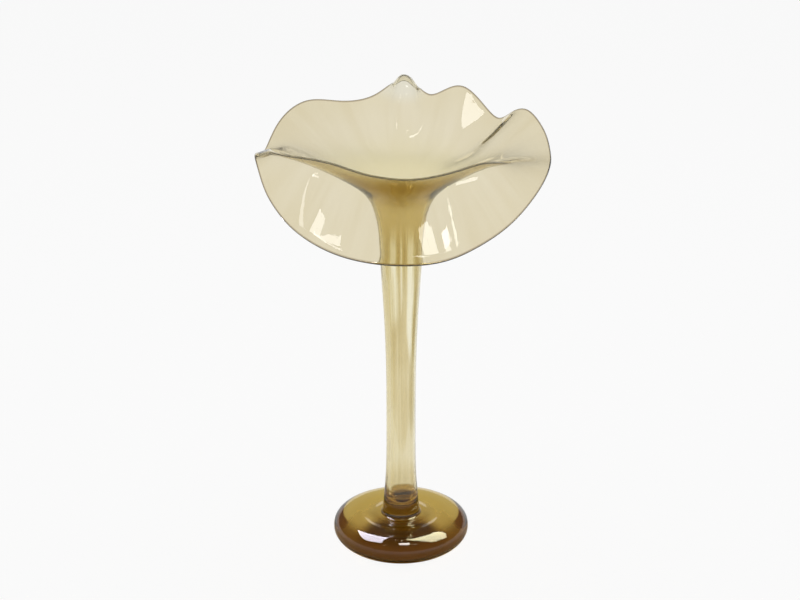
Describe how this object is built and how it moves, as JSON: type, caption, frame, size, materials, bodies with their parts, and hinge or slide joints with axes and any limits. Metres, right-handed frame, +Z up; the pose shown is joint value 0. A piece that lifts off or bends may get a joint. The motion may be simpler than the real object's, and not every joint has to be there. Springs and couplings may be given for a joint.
{
  "type": "jack-in-the-pulpit vase",
  "caption": "Blown glass vase with a slender hollow stem, a folded and waved flower mouth with a curled tip, and a heavy round foot.",
  "frame": {"origin": "centre of the foot's resting face, on the surface that the vase stands on", "axes": "+Z up along the stem, -Y towards the front lip of the flower, +Y towards its tip, +X to the right as seen from the front"},
  "size_m": [0.2592, 0.2535, 0.4237],
  "materials": {
    "body_glass": "pale amber, fire-polished",
    "wafer_glass": "olive amber, fire-polished",
    "foot_glass": "deep amber, fire-polished, ground and polished underneath"
  },
  "bodies": {
    "root": {"blown_body": "body_glass", "joining_wafer": "wafer_glass", "foot": "foot_glass"}
  },
  "joints": []
}
